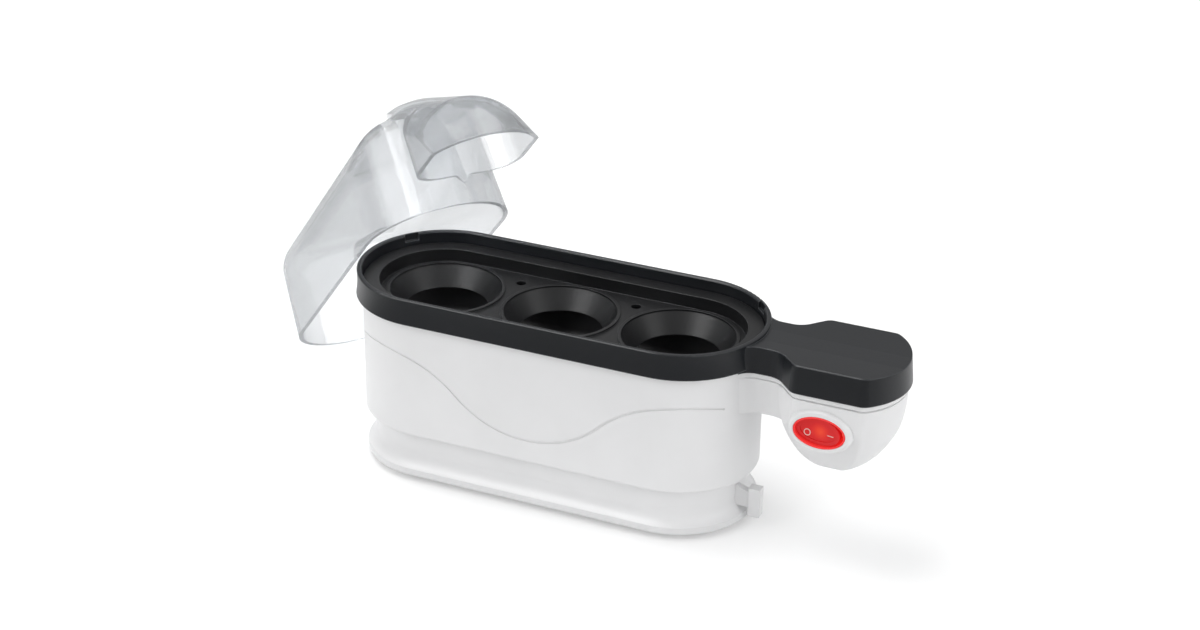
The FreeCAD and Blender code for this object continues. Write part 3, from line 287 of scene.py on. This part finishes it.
printed("off_ring", inner=loop(ring_place, wide=0.0010, high=0.0011, power=ellipse),
        outer=loop(ring_place, wide=0.00135, high=0.00145, power=ellipse))
printed("on_bar", inner=loop(bar_place, wide=0.0012, high=0.00002, power=flat_ended),
        outer=loop(bar_place, wide=0.0013, high=0.00016, power=flat_ended))

# Heater under the dish
# A tube heater in an aluminium sheath, bent into a long U and brazed to the dish, with a disc thermostat
# and a thermal fuse in a glass-fibre sleeve held against the dish by sprung clips.


def metal(name, deep, pale, rough, grain):
    """Bare or plated metal."""
    finish = moulded(name, deep, pale, rough, grain)
    finish.node_tree.nodes["Principled BSDF"].inputs["Metallic"].default_value = 1
    return finish


sheath = metal("sheath_aluminium", deep=(0.52, 0.52, 0.53), pale=(0.62, 0.62, 0.62), rough=0.42, grain=1300)
dress(sheath, "heating_element")
spring = metal("clip_steel", deep=(0.42, 0.42, 0.43), pale=(0.52, 0.51, 0.50), rough=0.30, grain=1500)
dress(spring, "thermostat_clip", "fuse_clip")
disc = metal("thermostat_zinc", deep=(0.55, 0.54, 0.52), pale=(0.64, 0.63, 0.60), rough=0.36, grain=1100)
dress(disc, "thermostat")
sleeve = moulded("fuse_sleeve", deep=(0.62, 0.58, 0.46), pale=(0.72, 0.68, 0.55), rough=0.8, grain=1900)
dress(sleeve, "thermal_fuse")

# Heat shield and fixings
# A sheet of bright aluminised steel hangs on two studs under the heater, to keep its heat off the wires.
# Studs, nuts and screws are zinc plated.

bright = metal("shield_sheet", deep=(0.60, 0.60, 0.61), pale=(0.70, 0.70, 0.71), rough=0.26, grain=600)
dress(bright, "heat_shield")
zinc = metal("zinc_plate", deep=(0.50, 0.50, 0.52), pale=(0.62, 0.62, 0.64), rough=0.30, grain=1700)
dress(zinc, "dish_studs", "shield_nuts", "clamp_screws", "base_screws", "arm_screw")

# Terminals, block and cord clamp
# Brass tabs and heater pins, a milky nylon block that joins the cord to the wires, and the bar that holds
# the cord down, moulded in the same nylon.

brass = metal("bare_brass", deep=(0.62, 0.46, 0.22), pale=(0.72, 0.55, 0.28), rough=0.32, grain=1400)
dress(brass, "element_pins", "switch_tabs")
nylon = moulded("milky_nylon", deep=(0.60, 0.59, 0.55), pale=(0.68, 0.67, 0.63), rough=0.42, grain=1000)
dress(nylon, "terminal_block", "cord_clamp")

# Wires
# Each wire has a heat-resistant sheath in the colour of its duty: brown or red where it is live, blue for
# the return, and green for earth.

sheaths = {"live_lead": (0.13, 0.045, 0.018), "lamp_lead": (0.02, 0.05, 0.22),
           "earth_lead": (0.06, 0.24, 0.03), "neutral_lead": (0.015, 0.06, 0.30),
           "switched_lead": (0.38, 0.02, 0.018)}
faded = 1.3
for node, tint in sheaths.items():
    paler = tuple(faded * part for part in tint)
    dress(moulded(node + "_sheath", deep=tint, pale=paler, rough=0.45, grain=2400), node)

# Clear lid with its grip
# One thin-walled moulding in clear styrene with a faint grey-blue tint: a vault, and a hood that grows out
# of its end to lift it by. It stands on its end and leans on the collar.

tint = (0.94, 0.955, 0.97)
face_on = (0.980, 0.983, 0.987)
edge_on = (0.36, 0.375, 0.39)
edge_falloff = 1.9
edge_blend = 0.5
straight_share = 0.50
rim_radius = 0.0007
styrene_ior = 1.49
polish_best = 0.01
polish_worst = 0.03
swirl_scale = 45
swirl_strength = 0.05
swirl_height = 0.002
clear = bpy.data.materials.new("clear_styrene")
clear.use_nodes = True
tree = clear.node_tree
link = tree.links.new
shader = tree.nodes["Principled BSDF"]
shader.inputs["Base Color"].default_value = (*tint, 1)
shader.inputs["Transmission Weight"].default_value = 1
shader.inputs["IOR"].default_value = styrene_ior
place = tree.nodes.new("ShaderNodeTexCoord")
swirl = tree.nodes.new("ShaderNodeTexNoise")
swirl.inputs["Scale"].default_value = swirl_scale
swirl.inputs["Detail"].default_value = 2
polish = tree.nodes.new("ShaderNodeMapRange")
polish.inputs["To Min"].default_value = polish_best
polish.inputs["To Max"].default_value = polish_worst
ripple = tree.nodes.new("ShaderNodeBump")
ripple.inputs["Strength"].default_value = swirl_strength
ripple.inputs["Distance"].default_value = swirl_height
rounded = tree.nodes.new("ShaderNodeBevel")
rounded.samples = edge_samples
rounded.inputs["Radius"].default_value = rim_radius
slant = tree.nodes.new("ShaderNodeLayerWeight")
slant.inputs["Blend"].default_value = edge_blend
thicker = tree.nodes.new("ShaderNodeMath")
thicker.operation = "POWER"
thicker.inputs[1].default_value = edge_falloff
depth = tree.nodes.new("ShaderNodeMix")
depth.data_type = "RGBA"
depth.inputs[colour_a].default_value = (*face_on, 1)
depth.inputs[colour_b].default_value = (*edge_on, 1)
passed = tree.nodes.new("ShaderNodeBsdfTransparent")
lamp_rays = tree.nodes.new("ShaderNodeLightPath")
straight = tree.nodes.new("ShaderNodeMath")
straight.operation = "MAXIMUM"
straight.inputs[1].default_value = straight_share
either = tree.nodes.new("ShaderNodeMixShader")
link(place.outputs["Object"], swirl.inputs["Vector"])
link(swirl.outputs["Fac"], polish.inputs["Value"])
link(polish.outputs["Result"], shader.inputs["Roughness"])
link(swirl.outputs["Fac"], ripple.inputs["Height"])
link(rounded.outputs["Normal"], ripple.inputs["Normal"])
link(ripple.outputs["Normal"], shader.inputs["Normal"])
link(rounded.outputs["Normal"], slant.inputs["Normal"])
link(slant.outputs["Facing"], thicker.inputs[0])
link(thicker.outputs["Value"], depth.inputs["Factor"])
link(depth.outputs[colour_out], passed.inputs["Color"])
link(lamp_rays.outputs["Is Shadow Ray"], straight.inputs[0])
link(straight.outputs["Value"], either.inputs["Fac"])
link(shader.outputs["BSDF"], either.inputs[1])
link(passed.outputs["BSDF"], either.inputs[2])
link(either.outputs["Shader"], tree.nodes["Material Output"].inputs["Surface"])

lid_origin = Vector((-0.085005, 0.028199, 0.053521))
lid_along = Vector((0.562401, -0.434673, 0.703395))
lid_rise = Vector((-0.535961, 0.456142, 0.710409))
lid_end_centre = 0.0492
lid_end_radius = 0.0279
crown_low = 0.038
crown_high = 0.062
cutter_sides = 96
foot_overlap = 0.0002
same_point = 0.000002
crease_angle = math.radians(26)
face_weight = 90


def copied(node, name, shift):
    """A node's mesh as a closed skin of its own, moved by a shift."""
    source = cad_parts[node]
    skin = source.data.copy()
    skin.transform(Matrix.Translation(shift) @ source.matrix_world)
    work = bmesh.new()
    work.from_mesh(skin)
    bmesh.ops.remove_doubles(work, verts=work.verts, dist=same_point)
    work.to_mesh(skin)
    work.free()
    piece = bpy.data.objects.new(name, skin)
    bpy.context.scene.collection.objects.link(piece)
    return piece


def cut_or_joined(piece, other, operation):
    """Cuts another skin from a piece or joins the two, and keeps only the piece."""
    step = piece.modifiers.new("step", "BOOLEAN")
    step.operation = operation
    step.solver = "EXACT"
    step.object = other
    bpy.context.view_layer.update()
    result = piece.evaluated_get(bpy.context.evaluated_depsgraph_get())
    skin = bpy.data.meshes.new_from_object(result)
    piece.modifiers.clear()
    piece.data = skin
    bpy.data.objects.remove(other)


# The hood's strip ends in two points over the vault's crown. A drum trims them, and hood and vault are
# then joined into one skin.
hood = copied("lid_grip", "hood", -foot_overlap * lid_along)
bpy.ops.mesh.primitive_cylinder_add(vertices=cutter_sides, radius=lid_end_radius,
                                    depth=crown_high - crown_low)
drum = bpy.context.object
drum.rotation_euler = lid_rise.to_track_quat("Z", "Y").to_euler()
drum.location = lid_origin + lid_end_centre * lid_along + (crown_low + crown_high) / 2 * lid_rise
cut_or_joined(hood, drum, "DIFFERENCE")
lid = copied("clear_lid", "lid_moulding", Vector())
cut_or_joined(lid, hood, "UNION")
lid.data.materials.clear()
lid.data.materials.append(clear)
lid.data.shade_smooth()
lid.data.set_sharp_from_angle(angle=crease_angle)
even = lid.modifiers.new("even_normals", "WEIGHTED_NORMAL")
even.keep_sharp = True
even.weight = face_weight
bpy.context.view_layer.update()
smoothed = lid.evaluated_get(bpy.context.evaluated_depsgraph_get())
lid.data = bpy.data.meshes.new_from_object(smoothed)
lid.modifiers.clear()
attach(lid, "lid")
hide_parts("clear_lid", "lid_grip")
dress(clear, "clear_lid", "lid_grip")

# Worktop
# A matt white sheet that keeps the machine's shadow. The camera and the clear lid see it as plain white to
# its far end, and the glossy blacks see it darker in front and brighter behind.

sheet_size = 8
sheet_rough = 0.9
sheet_shine = 0.1
seen_tone = 0.74
lit_tone = 0.82
front_edge, front_tone = -0.16, 0.36
rear_edge, rear_tone = 0.03, 0.95
near_reach, near_glow = 0.35, 0.30
far_reach, far_glow = 1.8, 0.66
float_a, float_b, float_out = 2, 3, 0
bpy.ops.mesh.primitive_plane_add(size=sheet_size)
floor = bpy.context.object
floor.name = "worktop"
paper = bpy.data.materials.new("white_paper")
paper.use_nodes = True
tree = paper.node_tree
link = tree.links.new
sheet = tree.nodes["Principled BSDF"]
sheet.inputs["Roughness"].default_value = sheet_rough
sheet.inputs["Specular IOR Level"].default_value = sheet_shine
sheet.inputs["Emission Color"].default_value = (1, 1, 1, 1)
place = tree.nodes.new("ShaderNodeTexCoord")
split = tree.nodes.new("ShaderNodeSeparateXYZ")
mirrored = tree.nodes.new("ShaderNodeMapRange")
mirrored.interpolation_type = "SMOOTHSTEP"
mirrored.inputs["From Min"].default_value = front_edge
mirrored.inputs["From Max"].default_value = rear_edge
mirrored.inputs["To Min"].default_value = front_tone
mirrored.inputs["To Max"].default_value = rear_tone
seen = tree.nodes.new("ShaderNodeLightPath")
direct = tree.nodes.new("ShaderNodeMath")
direct.operation = "MAXIMUM"
shiny = tree.nodes.new("ShaderNodeMix")
shiny.data_type = "FLOAT"
shiny.inputs[float_a].default_value = lit_tone
plain = tree.nodes.new("ShaderNodeMix")
plain.data_type = "FLOAT"
plain.inputs[float_b].default_value = seen_tone
reach = tree.nodes.new("ShaderNodeVectorMath")
reach.operation = "LENGTH"
away = tree.nodes.new("ShaderNodeMapRange")
away.interpolation_type = "SMOOTHSTEP"
away.inputs["From Min"].default_value = near_reach
away.inputs["From Max"].default_value = far_reach
away.inputs["To Min"].default_value = near_glow
away.inputs["To Max"].default_value = far_glow
glow = tree.nodes.new("ShaderNodeMath")
glow.operation = "MULTIPLY"
link(place.outputs["Object"], split.inputs["Vector"])
link(split.outputs["Y"], mirrored.inputs["Value"])
link(seen.outputs["Is Glossy Ray"], shiny.inputs["Factor"])
link(mirrored.outputs["Result"], shiny.inputs[float_b])
link(seen.outputs["Is Camera Ray"], direct.inputs[0])
link(seen.outputs["Is Transmission Ray"], direct.inputs[1])
link(direct.outputs["Value"], plain.inputs["Factor"])
link(shiny.outputs[float_out], plain.inputs[float_a])
link(plain.outputs[float_out], sheet.inputs["Base Color"])
link(place.outputs["Object"], reach.inputs[0])
link(reach.outputs["Value"], away.inputs["Value"])
link(away.outputs["Result"], glow.inputs[1])
link(direct.outputs["Value"], glow.inputs[0])
link(glow.outputs["Value"], sheet.inputs["Emission Strength"])
floor.data.materials.append(paper)

# Studio light
# A soft white room and four square lamps: one overhead, one at the front left, one at the right, and one
# that shows only in gloss, as a thin bright line along the upper edges.

room_tint = (0.99, 0.995, 1.0)
room_strength = 0.56
low_slope, low_canopy = 0.2, 0.5
high_slope, high_canopy = 0.7, 0.9
middle = (0, 0, 0.05)
upper_edges = (0, 0, 0.08)
world = bpy.data.worlds.new("studio")
bpy.context.scene.world = world
world.use_nodes = True
tree = world.node_tree
link = tree.links.new
soft = tree.nodes["Background"]
soft.inputs["Color"].default_value = (*room_tint, 1)
soft.inputs["Strength"].default_value = room_strength
heading = tree.nodes.new("ShaderNodeTexCoord")
split = tree.nodes.new("ShaderNodeSeparateXYZ")
canopy = tree.nodes.new("ShaderNodeMapRange")
canopy.inputs["From Min"].default_value = low_slope
canopy.inputs["From Max"].default_value = high_slope
canopy.inputs["To Min"].default_value = low_canopy
canopy.inputs["To Max"].default_value = high_canopy
mirrored = tree.nodes.new("ShaderNodeBackground")
backdrop = tree.nodes.new("ShaderNodeBackground")
backdrop.inputs["Strength"].default_value = 1
seen = tree.nodes.new("ShaderNodeLightPath")
direct = tree.nodes.new("ShaderNodeMath")
direct.operation = "MAXIMUM"
shiny = tree.nodes.new("ShaderNodeMixShader")
plain = tree.nodes.new("ShaderNodeMixShader")
link(heading.outputs["Generated"], split.inputs["Vector"])
link(split.outputs["Z"], canopy.inputs["Value"])
link(canopy.outputs["Result"], mirrored.inputs["Strength"])
link(seen.outputs["Is Glossy Ray"], shiny.inputs["Fac"])
link(soft.outputs["Background"], shiny.inputs[1])
link(mirrored.outputs["Background"], shiny.inputs[2])
link(seen.outputs["Is Camera Ray"], direct.inputs[0])
link(seen.outputs["Is Transmission Ray"], direct.inputs[1])
link(direct.outputs["Value"], plain.inputs["Fac"])
link(shiny.outputs["Shader"], plain.inputs[1])
link(backdrop.outputs["Background"], plain.inputs[2])
link(plain.outputs["Shader"], tree.nodes["World Output"].inputs["Surface"])


def lamp(name, size, power, place, target):
    """A soft square lamp that faces a point."""
    light = bpy.data.lights.new(name, "AREA")
    light.size = size
    light.energy = power
    stand = bpy.data.objects.new(name, light)
    bpy.context.scene.collection.objects.link(stand)
    stand.location = place
    stand.rotation_euler = (Vector(target) - Vector(place)).to_track_quat("-Z", "Y").to_euler()
    return stand


lamp("overhead_lamp", size=0.7, power=9, place=(-0.4, 0.1, 1.4), target=middle)
lamp("front_left_lamp", size=0.8, power=5.2, place=(-0.7, -0.9, 0.9), target=middle)
lamp("right_lamp", size=0.8, power=4.4, place=(1.2, -0.2, 0.6), target=middle)
edge_lamp = lamp("edge_lamp", size=0.6, power=7, place=(-0.45, -0.60, 1.25), target=upper_edges)
edge_lamp.visible_diffuse = False

# Camera
# A long lens on a full-frame camera, looking down at the machine from the front right, as the photograph
# was taken.

camera_film = 36
camera_lens = 74.72
camera_far = 20
camera_place = Vector((0.35115, -0.78340, 0.50404))
across = Vector((0.9171, 0.3984, 0.0124)).normalized()
ahead = Vector((-0.3505, 0.8208, -0.4511)).normalized()
rise = across.cross(ahead).normalized()
camera = bpy.data.objects.new("camera", bpy.data.cameras.new("camera"))
bpy.context.scene.collection.objects.link(camera)
turn = Matrix((across, rise, -ahead)).transposed()
camera.matrix_world = Matrix.Translation(camera_place) @ turn.to_4x4()
camera.data.sensor_width = camera_film
camera.data.lens = camera_lens
camera.data.clip_end = camera_far
bpy.context.scene.camera = camera
bpy.context.scene.view_settings.view_transform = "Standard"
